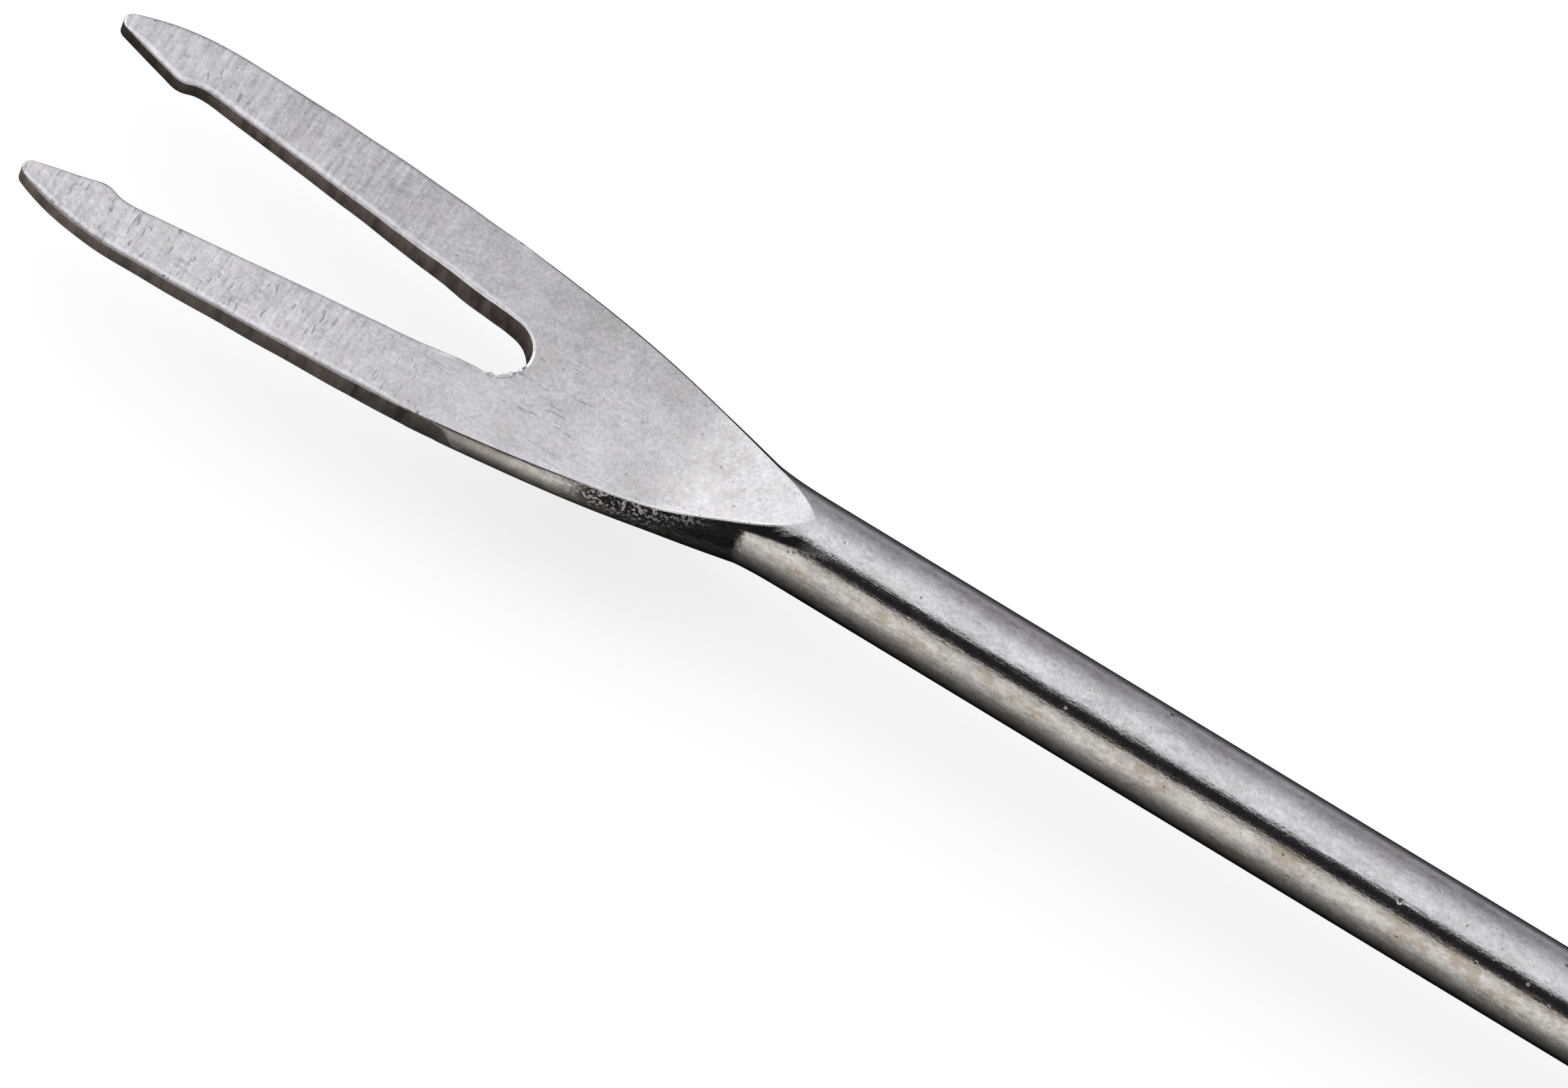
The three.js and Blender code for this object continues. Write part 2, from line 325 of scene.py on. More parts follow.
def steelFinish():
    look = steelLook
    finish, shader, where = newFinish("forkSteel")
    x, y, z = axes(where)
    pressed, sheared, worn = [where.node("ShaderNodeAttribute", {"attribute_name": name}, {}, 2)
                              for name in ("pressed", "sheared", "worn")]
    drawn = 1 - highest(pressed, sheared)
    onTines = 1 - between(x, *look["tinesEnd"])
    atTips = 1 - between(x, *look["tipsEnd"])
    onTop = between(y, *look["topSide"])
    inFront = 1 - between(y, *look["middle"])
    outside = 1 - between(y, *look["outerWall"])

    # Clouds from wide to fine, and the short cross marks of the grinding on the tines
    cloudy = cloud(where, size=2.6, detail=3, rough=0.55)
    patchy = cloud(where, size=0.55, detail=3, rough=0.6)
    fine = cloud(where, size=0.14, detail=4, rough=0.75)
    ground = cloud(stretched(where, (5.5, 0.75, 0.75), look["grindTurn"]), rough=0.6)
    tickPatch = cloud(where, size=2.2) - 0.022 * y + 0.08 * atTips
    ticks = cloud(stretched(where, (7, 1.6, 1.6), look["grindTurn"]), detail=1)
    ticks = between(ticks, 0.62, 0.72) * between(tickPatch, 0.47, 0.6) * onTines
    lengthwise = cloud(stretched(where, (0.5, 6.5, 6.5)), rough=0.6)
    mottled = cloud(stretched(where, (1.7, 3.4, 3.4)), detail=4, rough=0.7)

    # Warm stains, most of them at the foot of the ramp
    stainCloud = cloud(where, size=2.2, detail=5, rough=0.65, twist=0.4)
    stainCloud = stainCloud + 0.09 * window(x, *look["footSpan"])
    stained = between(stainCloud, 0.53, 0.72) * between(patchy, 0.35, 0.6)
    barStain = cloud(stretched(where, (0.5, 1.1, 1.1)), detail=5, rough=0.75)
    barStain = between(barStain, 0.52, 0.61) * drawn * (1 - 0.8 * onTop)
    flushed = cloud(where, size=0.9, detail=4, rough=0.65, twist=0.3)
    flushed = between(flushed, 0.5, 0.68) * pressed

    # Nicks and dots, and scratches in patches and on the web
    nicked = marks(where, scale=(0.8, 0.8, 0.8), pick=(0.72, 0.78), spot=(0.03, 0.1))
    dots = marks(where, scale=(2.1, 2.6, 2.6), pick=(0.78, 0.84), spot=(0.05, 0.17))
    specks = marks(where, scale=(4.2, 5.5, 5.5), pick=(0.82, 0.88), spot=(0.08, 0.24)) * drawn
    longScratch = stretched(where, (0.14, 6, 1), look["longTurn"])
    longScratch = cloud(longScratch, detail=1, rough=0.4, twist=0.25)
    shortScratch = cloud(stretched(where, (0.6, 6, 1), look["shortTurn"]), twist=0.9)
    scratched = highest(between(longScratch, 0.64, 0.7), between(shortScratch, 0.65, 0.71))
    scratchPatch = between(cloud(where, size=2.4, detail=3), 0.52, 0.6)
    scuffed = window(x, *look["scuffSpan"]) * window(y, *look["scuffWidth"])
    scratched = scratched * highest(0.6 * scratchPatch, scuffed)

    # Leathery scale that the press left on the sides behind the web, closing up into a painted dark
    # reflection towards the ramp and along a line on the bar, and painted shade on the lower front sides
    # ahead of it
    leather = cloud(where, size=0.14, detail=3, rough=0.65)
    begun = x + 1.4 * (cloudy - 0.5) + 1.2 * between(z, *look["startRise"])
    begun = between(begun, *look["scaleAndReflectionStart"])
    ended = between(x + 0.6 * (leather - 0.5), *look["scaleAndReflectionEnd"])
    # the tail is a painted dark reflection along a line on the bar
    tail = between(z - look["tailSlope"] * (x - look["tailStart"]), *look["tailLow"])
    tail = tail * (1 - between(z, *look["tailHigh"]))
    tail = tail * (1 - between(x, *look["tailEnd"])) * inFront
    scaleAndReflection = begun * highest(1 - ended, tail) * drawn
    closed = between(x - 0.9 * between(z, *look["closedRise"]), *look["scaleAndReflectionClosed"])
    darkShare = highest(0.99 * between(0 - leather, -0.575, -0.525), 0.25 + 0.745 * closed)
    darkShare = darkShare * (0.8 + 0.2 * between(z, *look["scaleAndReflectionRise"]))
    # painted shade on the front sides ahead of the web, darker towards the bottom
    sideShade = 0.5 * (1 - between(x, *look["sideShadeFade"])) + 0.15 + 0.25 * (1 - between(z, *look["sideShadeTop"]))
    sideShade = drawn * sideShade * (1 - between(x, *look["sideShadeEnd"])) * inFront

    tone = 0.5 + 0.5 * (cloudy - 0.5) + 0.55 * (patchy - 0.5) + 1.3 * (fine - 0.5)
    tone = tone + onTines * (ground - 0.5) * 0.9 - 0.35 * scratched - 0.85 * ticks
    tone = tone + drawn * (1.5 - 0.5 * onTop) * (mottled - 0.5)
    # painted light: a gradient across the flats, the web and the tips from one side to the other; the flats
    # are also darker along the middle of the head
    tone = tone - pressed * (0.12 * window(x, *look["dimSpan"]) + 0.008 * y)
    tone = tone - pressed * 0.02 * y * window(x, *look["webSpan"])
    tone = tone + pressed * atTips * (0.028 * y - 0.02)
    base = blended(tone, look["darkSteel"], look["lightSteel"])
    base = blended(0.35 * flushed, base, look["flush"])
    base = blended(0.36 * stained + 0.6 * barStain, base, look["stain"])
    base = blended(highest(highest(0.8 * nicked, 0.5 * dots), 0.45 * specks), base, look["pitAndShade"])
    # painted shade on the lower front sides
    base = blended(sideShade, base, look["pitAndShade"])
    # speckled scale, closing up into a painted dark reflection near the ramp and along the bar's line
    base = blended(scaleAndReflection * darkShare, base, look["scale"])
    # worn edges, partly a painted highlight
    base = blended(worn, base, look["worn"])

    # Torn walls, with painted shade that makes them darker outside and at the upper nose
    streaks = cloud(stretched(where, (1.9, 1.9, 0.5)), detail=4, rough=0.68)
    tears = cloud(stretched(where, (3.4, 3.4, 0.15)), detail=1, rough=0.4)
    tears = between(tears, 0.58, 0.66) * window(x, *look["tearSpan"]) * outside
    behindNose = between(x, *look["noseEnd"])
    shaded = outside * (0.4 * behindNose + 0.25 * between(x, *look["shadeStart"]))
    shaded = shaded + 0.6 * between(y, *look["upperNose"]) * (1 - behindNose)
    wall = blended(between(streaks, 0.28, 0.75), look["wallDark"], look["wallLight"])
    wall = blended(0.8 * tears, wall, look["tearAndShade"])
    # painted shade on the outer walls and at the upper nose
    wall = blended(shaded, wall, look["tearAndShade"])
    plug(blended(sheared, base, wall), shader, "Base Color")
    plug(1 - (1 - look["wallMetal"]) * sheared, shader, "Metallic")

    roughness = look["barRoughness"] + (look["flatRoughness"] - look["barRoughness"]) * pressed
    roughness = roughness + (look["wallRoughness"] - look["flatRoughness"]) * sheared
    roughness = roughness + (look["wornRoughness"] - look["flatRoughness"]) * worn
    roughness = roughness + 0.1 * (patchy - 0.5) + 0.1 * stained + 0.08 * barStain
    plug(roughness, shader, "Roughness")

    height = pressed * (0.007 * fine + 0.008 * patchy + 0.014 * cloudy - look["crown"] * y * y)
    height = height + pressed * onTines * 0.008 * ground
    height = height - pressed * (0.03 * nicked + 0.006 * scratched + 0.015 * ticks)
    height = height + drawn * (0.008 * fine + 0.006 * lengthwise + 0.009 * patchy)
    height = height - drawn * (0.02 * nicked + 0.012 * dots)
    height = height + scaleAndReflection * 0.05 * (leather - 0.5)
    height = height + sheared * 0.06 * streaks
    plugBump(height, shader)
    return finish


# Wood, brass and coloured plastic of the handle

woodLook = dict(
    pale=(0.235, 0.115, 0.052, 1),
    deep=(0.085, 0.036, 0.016, 1),
    pore=(0.03, 0.013, 0.007, 1),
)


def woodFinish():
    look = woodLook
    finish, shader, where = newFinish("handleWood")
    shader.inputs["Specular IOR Level"].default_value = 0.28
    lengthways = stretched(where, (0.028, 0.42, 0.55))
    bands = cloud(lengthways, detail=3, rough=0.55, twist=0.9)
    rings = where.node("ShaderNodeTexWave", {"bands_direction": "Y"},
                       {"Vector": lengthways, "Scale": 1.3, "Distortion": 5, "Detail": 3,
                        "Detail Scale": 1.2, "Detail Roughness": 0.6}, 1)
    pored = between(cloud(stretched(where, (0.16, 4.6, 4.6)), rough=0.6), 0.6, 0.68)
    flecks = cloud(stretched(where, (0.7, 9, 9)), rough=0.6)
    tone = 0.5 * between(bands, 0.3, 0.7) + 0.4 * rings + 0.25 * (flecks - 0.5)
    base = blended(tone, look["deep"], look["pale"])
    base = blended(pored * 0.75, base, look["pore"])
    plug(base, shader, "Base Color")
    plug(0.42 + 0.18 * pored + 0.12 * (flecks - 0.5), shader, "Roughness")
    plugBump(0.006 * flecks - 0.03 * pored + 0.01 * rings, shader)
    return finish


brassLook = dict(light=(0.73, 0.53, 0.22, 1), dull=(0.50, 0.34, 0.13, 1))


def brassFinish():
    look = brassLook
    finish, shader, where = newFinish("rivetBrass")
    shader.inputs["Metallic"].default_value = 1
    groundLines = cloud(stretched(where, (0.5, 11, 11)), rough=0.6)
    tarnish = cloud(where, size=1.3, detail=4, rough=0.6)
    base = blended(between(tarnish, 0.35, 0.7), look["light"], look["dull"])
    plug(base, shader, "Base Color")
    plug(0.24 + 0.14 * tarnish + 0.1 * (groundLines - 0.5), shader, "Roughness")
    plugBump(0.0025 * groundLines + 0.002 * tarnish, shader)
    return finish


plasticLook = dict(red=(0.42, 0.018, 0.016, 1), faded=(0.33, 0.026, 0.022, 1))


def plasticFinish():
    look = plasticLook
    finish, shader, where = newFinish("markerPlastic")
    swirl = cloud(where, size=1.1, detail=3, twist=0.8)
    scuffs = cloud(stretched(where, (0.6, 10, 10)), rough=0.6)
    plug(blended(swirl, look["red"], look["faded"]), shader, "Base Color")
    plug(0.2 + 0.1 * scuffs, shader, "Roughness")
    plugBump(0.002 * scuffs, shader)
    return finish


# Fork rod: one bar, pressed flat and sheared into the tines, and pressed again for the tang

bar = dict(
    rodRadius=1.75,
    tineLength=18.35,
    webLength=6.6,
    rampLength=4.6,
    rodLength=100,
    tipHalf=0.35,        # half thicknesses
    crotchHalf=0.57,
    footHalf=0.78,
    crotchSoftness=0.6,  # rounding of the kinks in the head's thickness
    footSoftness=0.28,
    topSoftness=0.1,
    blankHalf=6.62,      # half width of the blank ahead of the tips
    blankLead=1,
    blankPlaces=(12, 13.5, 15, 16),
    shoulderHalf=3.92,   # half width where the shear runs out
    spreadHalf=3.84,     # half width of the flat there, inside the rounded side
    shearSetback=1.4,
    shearFade=0.9,       # length in which the sheared wall runs out in the rounded side
    shearOffset=0.17,    # of the inner edges, towards +Y
    tineSway=0.09,       # of the outer edges and the web, fading out along the tines and the web
    tineSwaySpan=(9, 17),
    webSway=0.1,
    webSwaySpan=(19, 29),
    spreadLead=0.68,
    spreadEase=0.32,
    spreadSteps=40,
    nearBulge=math.radians(51),   # steepness of the rounded sides under the flat's edge
    farBulge=math.radians(46),
    nearRound=0.11,
    farRound=0.06,
    edgeSteps=4,
    sideSteps=44,
    topPlaces=(0.3, 0.7),         # sections behind the ramp's top, and along the rod
    rodPlaces=(32, 50, 80, 110, 128),
    tangHalfWidth=3.1,
    tangHalf=0.775,
    rodSeat=8,
    tangRamp=5,
    tangSteps=13,
    tailTurn=0.05,                # angle at which the tang's round end is cut off
    tailSteps=10,
    handleLength=112,
    pinSetback=10,
    pinRadius=2.5,
    tangToPin=5,
)
shearEnd = bar["tineLength"] - bar["shearSetback"]
rampFoot = bar["tineLength"] + bar["webLength"]
rampTop = rampFoot + bar["rampLength"]
handleFront = rampTop + bar["rodLength"]
handleRear = handleFront + bar["handleLength"]
tangRampStart = handleFront + bar["rodSeat"]
tangStart = tangRampStart + bar["tangRamp"]
pinPlace = handleRear - bar["pinSetback"]
barEnd = pinPlace - bar["pinRadius"] - bar["tangToPin"]
tangRadius = math.hypot(bar["tangHalfWidth"], bar["tangHalf"])


def headHalf(x):  # half thickness of the pressed head, with its kinks rounded
    tineSlope = (bar["crotchHalf"] - bar["tipHalf"]) / bar["tineLength"]
    webSlope = (bar["footHalf"] - bar["crotchHalf"]) / bar["webLength"]
    rampSlope = (bar["rodRadius"] - bar["footHalf"]) / bar["rampLength"]
    height = bar["tipHalf"] + tineSlope * x
    height += (webSlope - tineSlope) * softKink(x - bar["tineLength"], bar["crotchSoftness"])
    height += (rampSlope - webSlope) * softKink(x - rampFoot, bar["footSoftness"])
    return height - rampSlope * softKink(x - rampTop, bar["topSoftness"])


def tangHalf(x):
    share = min(max((x - tangRampStart) / bar["tangRamp"], 0), 1)
    return bar["rodRadius"] + (bar["tangHalf"] - bar["rodRadius"]) * share


def sway(x):  # how far the head lies off the bar's middle
    tineShare = 1 - ease(x, *bar["tineSwaySpan"])
    webShare = 1 - ease(x, *bar["webSwaySpan"])
    return bar["tineSway"] * tineShare + bar["webSway"] * webShare


def sideSection(half, radius, bulge, fillet):  # from the upper flat's edge round to the lower one's
    flat = math.sqrt(max(radius * radius - half * half, 0))
    steepness = max(math.asin(min(half / radius, 1)), bulge)
    side = half / math.sin(steepness)
    middle = flat - side * math.cos(steepness)
    reach = math.sqrt(max((side - fillet) ** 2 - (half - fillet) ** 2, 0))
    meet = math.atan2(half - fillet, reach)
    upper = arcPoints((middle + reach, half - fillet), fillet, math.pi / 2, meet, bar["edgeSteps"])
    flank = arcPoints((middle, 0), side, meet, -meet, bar["sideSteps"])
    return upper + flank[1:-1] + [(y, -z) for y, z in reversed(upper)]


def barSection(x, radius, grow=0):  # points across the bar at x, from the top round by +Y
    inHead = x < rampTop + bar["rampLength"]
    half = min(headHalf(x) if inHead else tangHalf(x), radius) + grow
    far = sideSection(half, radius + grow, bar["farBulge"] if inHead else 0, bar["farRound"])
    near = sideSection(half, radius + grow, bar["nearBulge"] if inHead else 0, bar["nearRound"])
    return far + [(-y, z) for y, z in reversed(near)]


def barStations(grow=0):  # places along the bar, each with its radius before pressing
    rodRadius, blankHalf, lead = bar["rodRadius"], bar["blankHalf"], bar["blankLead"]
    shoulder = math.hypot(bar["spreadHalf"], bar["crotchHalf"])
    blank = [(x, blankHalf + (shoulder - blankHalf) * (x + lead) / (shearEnd + lead))
             for x in (-lead, *bar["blankPlaces"])]
    run = rampTop - shearEnd
    spread = interpolate_bezier(
        Vector((shearEnd, shoulder, 0)),
        Vector((shearEnd + bar["spreadLead"] * run, (shoulder + rodRadius) / 2, 0)),
        Vector((rampTop - bar["spreadEase"] * run, rodRadius, 0)),
        Vector((rampTop, rodRadius, 0)), bar["spreadSteps"])
    rod = [(rampTop + step, rodRadius) for step in bar["topPlaces"]]
    rod += [(x, rodRadius) for x in bar["rodPlaces"]]
    tangCurve = interpolate_bezier(
        Vector((tangRampStart, rodRadius, 0)),
        Vector((tangRampStart + bar["tangRamp"] / 2, rodRadius, 0)),
        Vector((tangStart - bar["tangRamp"] / 2, tangRadius, 0)),
        Vector((tangStart, tangRadius, 0)), bar["tangSteps"])
    tail = arcPoints((barEnd - tangRadius, 0), tangRadius, math.pi / 2, bar["tailTurn"], bar["tailSteps"])
    ahead = [] if grow else blank + [(p.x, p.y) for p in spread]
    return ahead + rod + [(p.x, p.y) for p in tangCurve] + tail


def loftBar(grow=0):
    rings = [(x, barSection(x, radius, grow)) for x, radius in barStations(grow)]
    bm = bmesh.new()
    turn = bm.verts.layers.int.new("turn")
    ring = bmesh.ops.create_circle(bm, segments=len(rings[0][1]), radius=1)["verts"]
    for number, vert in enumerate(ring):
        vert[turn] = number
    edges = list(bm.edges)
    for number, (x, points) in enumerate(rings):
        if number:
            grown = bmesh.ops.extrude_edge_only(bm, edges=edges)["geom"]
            ring = {g for g in grown if isinstance(g, bmesh.types.BMVert)}
            edges = [g for g in grown if isinstance(g, bmesh.types.BMEdge) and ring.issuperset(g.verts)]
        for vert in ring:
            y, z = points[vert[turn]]
            vert.co = (x, y + sway(x), z)
    bmesh.ops.holes_fill(bm, edges=bm.edges, sides=0)
    bmesh.ops.remove_doubles(bm, verts=bm.verts, dist=mergeGap)
    bmesh.ops.recalc_face_normals(bm, faces=bm.faces)
    return bm


def sideReach(x):  # half width of the bar at its rounded near side
    places = barStations()
    for (x0, radius0), (x1, radius1) in zip(places, places[1:]):
        if x0 <= x <= x1:
            radius = radius0 + (radius1 - radius0) * (x - x0) / (x1 - x0)
    return max(-y for y, z in barSection(x, radius))


tines = dict(
    headHalf=4.62,
    widestSetback=4.4,
    tipRadius=0.33,
    mouthHalf=2.47,
    crotchRadius=1.2,
    barbSetback=2.87,
    barbLength=0.75,
    barbDepth=0.29,
    barbRound=0.34,
    outerFullness=0.82,
    noseFullness=0.43,
    fadeRuns=(1, 0.85, 0.7, 0.55, 0.42, 0.3, 0.2, 0.1, 0),
    fadeGap=0.02,             # how far the edge passes the bar's side where it runs out
    outerSteps=30,
    bendSteps=14,
    noseSteps=12,
    innerSteps=6,
    barbSteps=5,
    slopeSteps=2,
    notchSteps=6,
    gapSteps=26,
    crotchSteps=14,
    waver=0.022,              # unevenness of the sheared edge, more beside the crotch
    waverLength=1.5,
    waverApart=7.3,           # lifts the sideways noise away from the lengthwise one
    waverGrowth=(12, 15),
    waverFade=14,
    outerHalf=(2.6, 3.2),     # half widths at which inner edges end and outer edges begin
    toolMargin=3,
    toolRear=5,
    toolHalf=8,
)


def tineEdge():  # edge of one tine, from the shoulder round the tip and the barb to the crotch
    t = tines
    nose = (t["tipRadius"], (t["mouthHalf"] + t["headHalf"]) / 2)
    bend = (t["noseFullness"] * t["widestSetback"], t["headHalf"])
    barb = (t["barbSetback"], t["mouthHalf"])
    notch = (t["barbSetback"] + t["barbLength"], t["mouthHalf"] + t["barbDepth"])
    crotch = (bar["tineLength"] - t["crotchRadius"], 0)
    outerTouch = touchAngle(nose, t["tipRadius"], bend, 1)
    innerTouch = touchAngle(nose, t["tipRadius"], barb, -1) + math.tau
    crotchTouch = touchAngle(crotch, t["crotchRadius"], notch, -1)
    noseArc = arcPoints(nose, t["tipRadius"], outerTouch, innerTouch, t["noseSteps"])
    crotchArc = arcPoints(crotch, t["crotchRadius"], crotchTouch, 0, t["crotchSteps"])
    shoulderHalf = bar["shoulderHalf"]
    shoulder = (shearEnd, shoulderHalf)
    widest = (t["widestSetback"], t["headHalf"])
    swell = shoulderHalf + (t["headHalf"] - shoulderHalf) * t["outerFullness"]
    halfway = ((shearEnd + t["widestSetback"]) / 2, swell)
    beforeBarb = pointTowards(barb, noseArc[-1], t["barbRound"])
    afterBarb = pointTowards(barb, notch, t["barbRound"])
    beforeNotch = pointTowards(notch, barb, t["barbRound"])
    afterNotch = pointTowards(notch, crotchArc[0], 2 * t["barbRound"])
    edge = []
    for run in t["fadeRuns"]:
        x = shearEnd + run * bar["shearFade"]
        beyond = sideReach(x) + t["fadeGap"]
        edge.append((x, shoulderHalf + (beyond - shoulderHalf) * ease(run, 0, 1)))
    edge += curvePoints(shoulder, halfway, widest, t["outerSteps"])[1:]
    edge += curvePoints(widest, bend, noseArc[0], t["bendSteps"])[1:-1]
    edge += noseArc
    edge += linePoints(noseArc[-1], beforeBarb, t["innerSteps"])[1:-1]
    edge += curvePoints(beforeBarb, barb, afterBarb, t["barbSteps"])
    edge += linePoints(afterBarb, beforeNotch, t["slopeSteps"])[1:-1]
    edge += curvePoints(beforeNotch, notch, afterNotch, t["notchSteps"])
    edge += linePoints(afterNotch, crotchArc[0], t["gapSteps"])[1:-1]
    return edge + crotchArc


def shearTool():
    t = tines
    edge = tineEdge()
    clear = bar["blankHalf"] + t["toolMargin"]
    half = [(barEnd + t["toolRear"], clear), (edge[0][0], clear)] + edge
    outline = half + [(x, -y) for x, y in reversed(half[:-1])]
    otherPlace = Vector((0, 0, t["waverApart"]))
    wavy = []
    for x, y in outline:
        spot = Vector((x, y, 0)) / t["waverLength"]
        push = Vector((noise.noise(spot), noise.noise(spot + otherPlace))) * t["waver"]
        outer = ease(abs(y), *t["outerHalf"])
        offset = bar["shearOffset"] + (sway(x) - bar["shearOffset"]) * outer
        push *= 1 + (1 - outer) * ease(x, *t["waverGrowth"]) - outer * ease(x, t["waverFade"], shearEnd)
        wavy.append((x + push.x, y + push.y + offset))
    return prism(wavy, -t["toolHalf"], t["toolHalf"])


wear = dict(
    rollWidth=0.26,           # the punch rolled the upper edges over, wider than deep
    rollDepth=0.07,
    rollSteps=5,
    rollFade=2.6,             # length in which the roll runs out ahead of the shear's end
    leastRoll=0.04,
    rearLoss=0.35,            # shares of the roll that are missing
    crotchLoss=0.5,
    crotchSpan=(15.5, 17.8),
    tipLoss=0.65,
    tipSpan=(0.15, 1.1),
    burrSide=0.04,
    burrSteps=3,
    burrHang=0.13,            # lip that the shear left under the rear of the tine gap
    burrSpan=(10, 16),
    tearRise=0.22,            # torn edge beside the crotch
    tearSpan=(14.9, 16),
    tearFacing=0.2,
    lipHalf=2.7,              # half widths of the tine gap, with the lip and with the torn edge
    tearHalf=2.5,
    lipMarks=1.3,             # marks per millimetre in lip, wear and torn edge
    wearMarks=2.3,
    tearMarks=5.3,
    freshTip=(0.3, 0.9),      # the tips' far edges and all edges that face the rear get no wear and no painted highlight
    tipFacing=(-0.6, 0),
    rearFacing=(0.1, 0.6),
    rollStart=(0, 0.1),       # shares of the roll's depth
    wornHighlightEnd=(0.6, 0.98),
    wallTilt=0.05,            # upright share of a face's normal, at most on a wall and at least on a flat
    flatTilt=0.9,
    levelTilt=0.99,
    plumbTilt=0.002,
    flatArea=2,               # faces larger than this are the flats
    flatMargin=0.05,
    headMargin=1.1,
    outerMargin=1,
    rampSpan=(21, 24, 28.5, 29.4),
    rampLean=(0.05, 0.7),     # sideways share of the normals on the ramp's edge
    rampDepth=0.03,
)
headEnd = shearEnd + bar["shearFade"] + wear["headMargin"]


def isRim(edge, up):  # edge between a flat that looks up or down and a sheared wall
    if len(edge.link_faces) != 2:
        return False
    tilts = sorted((face.normal.z * up for face in edge.link_faces), key=abs)
    return abs(tilts[0]) < wear["wallTilt"] and tilts[1] > wear["flatTilt"]


def rollShare(point, facing):  # less roll on edges that face the rear, none where the shear runs out
    share = 1 - wear["rearLoss"] * max(facing, 0)
    if abs(point.y) > bar["shoulderHalf"] - wear["outerMargin"]:
        share *= 1 - ease(point.x, shearEnd - wear["rollFade"], shearEnd)
    share *= 1 - wear["crotchLoss"] * ease(point.x, *wear["crotchSpan"])
    share *= 1 - wear["tipLoss"] * (1 - ease(point.x, *wear["tipSpan"]))
    return max(share, wear["leastRoll"])


def nearestRim(point, lines):  # nearest place on the old edges, and how far that edge faces the rear
    spots = []
    for first, last, facing in lines:
        along = intersect_point_line(point, first, last)[1]
        spot = first.lerp(last, min(max(along, 0), 1))
        spots.append(((spot - point).length, spot, facing))
    return min(spots, key=lambda item: item[0])[1:]


def wornHighlightShare(rim, facing, drop):  # how bright the rolled edge is: worn, and a painted highlight on edges that face the front
    atTip = (1 - ease(rim.x, *wear["freshTip"])) * ease(facing, *wear["tipFacing"])
    toRear = ease(facing, *wear["rearFacing"])
    worn = ease(drop, *wear["rollStart"]) * (1 - ease(drop, *wear["wornHighlightEnd"])) * (1 - max(toRear, atTip))
    worn *= min(0.8 + 0.6 * noise.noise(rim * wear["wearMarks"]), 1)
    return min(1.7 * rollShare(rim, facing), 1) * worn


def rollEdges(bm):  # rounds the sheared edges, tears some of them and marks the wear and the painted highlights
    worn = bm.verts.layers.float.new("worn")
    for up, width, depth, steps in ((1, wear["rollWidth"], wear["rollDepth"], wear["rollSteps"]),
                                    (-1, wear["burrSide"], wear["burrSide"], wear["burrSteps"])):
        rims = [e for e in bm.edges if e.verts[0].co.x < headEnd and isRim(e, up)]
        lines = []
        for edge in rims:
            wall = min(edge.link_faces, key=lambda face: abs(face.normal.z))
            lines.append((edge.verts[0].co.copy(), edge.verts[1].co.copy(), wall.normal.y))
        new = bmesh.ops.bevel(bm, geom=rims, offset=width, offset_type="OFFSET", segments=steps,
                              profile=0.5, affect="EDGES", clamp_overlap=False, material=-1)
        for vert in new["verts"]:
            half = headHalf(vert.co.x)
            level = Vector((vert.co.x, vert.co.y, up * half))
            rim, facing = nearestRim(level, lines)
            share = rollShare(rim, facing) if up > 0 else 1
            drop = min(max((half - vert.co.z * up) / width, 0), 1)
            side = rim + (level - rim) * share
            vert.co = (side.x, side.y, up * (half - drop * depth * share))
            if up < 0 and abs(rim.y) < wear["lipHalf"]:
                lip = ease(rim.x, *wear["burrSpan"]) * (1 + 0.5 * noise.noise(rim * wear["lipMarks"]))
                vert.co.z -= wear["burrHang"] * lip * ease(drop, *wear["rollStart"])
            onFlat = any(face.calc_area() > wear["flatArea"] for face in vert.link_faces)
            if up > 0 and not onFlat:
                torn = facing > wear["tearFacing"] and abs(rim.y) < wear["tearHalf"]
                lump = max(noise.noise(rim * wear["tearMarks"]) + 0.4, 0) * torn
                lump *= ease(rim.x, *wear["tearSpan"])
                vert.co.z += wear["tearRise"] * lump
                # the torn lumps get a painted highlight too
                vert[worn] = max(wornHighlightShare(rim, facing, drop), min(1.6 * lump, 1))
    bm.normal_update()


def forkRod(finish):
    bm = carve(loftBar(), shearTool(), "INTERSECT")
    bmesh.ops.remove_doubles(bm, verts=bm.verts, dist=mergeGap)
    radius, reach = rivet["holeRadius"], rivet["tangCut"]
    for x in rivetPlaces():
        hole = turned(x, [(0, -reach), (radius, -reach), (radius, reach), (0, reach)], rivet["holeSteps"])
        bm = carve(bm, hole, "DIFFERENCE")
    joins = [e for e in bm.edges if all(v.co.x < headEnd for v in e.verts) and len(e.link_faces) == 2
             and all(abs(f.normal.z) > wear["levelTilt"] for f in e.link_faces)]
    bmesh.ops.dissolve_edges(bm, edges=joins, use_verts=False, use_face_split=False)
    rollEdges(bm)
    bmesh.ops.dissolve_degenerate(bm, edges=bm.edges, dist=mergeGap)
    bm.normal_update()
    pressed = bm.verts.layers.float.new("pressed")
    sheared = bm.verts.layers.float.new("sheared")
    for face in bm.faces:
        x = face.calc_center_median().x
        isFlat = abs(face.normal.z) > wear["flatTilt"] and x < rampTop + wear["flatMargin"]
        isWall = abs(face.normal.z) < wear["plumbTilt"] and x < headEnd
        for vert in face.verts:
            if isFlat:
                vert[pressed] = 1
            if isWall:
                vert[sheared] = 1
    worn = bm.verts.layers.float["worn"]
    wearStart, wearFull, wearFade, wearEnd = wear["rampSpan"]
    least, most = wear["rampLean"]
    for vert in bm.verts:  # painted highlight along the ramp's edge
        onEdge = all(least < abs(face.normal.y) < most for face in vert.link_faces)
        if onEdge and abs(vert.co.z) > headHalf(vert.co.x) - wear["rampDepth"]:
            vert[worn] = ease(vert.co.x, wearStart, wearFull) * (1 - ease(vert.co.x, wearFade, wearEnd))
    print("fork rod:", len(bm.faces), "faces")
    finishPiece(bm, "forkRod", "fork_rod", finish)


# Handle: two scales, three two-piece rivets and the colour pin

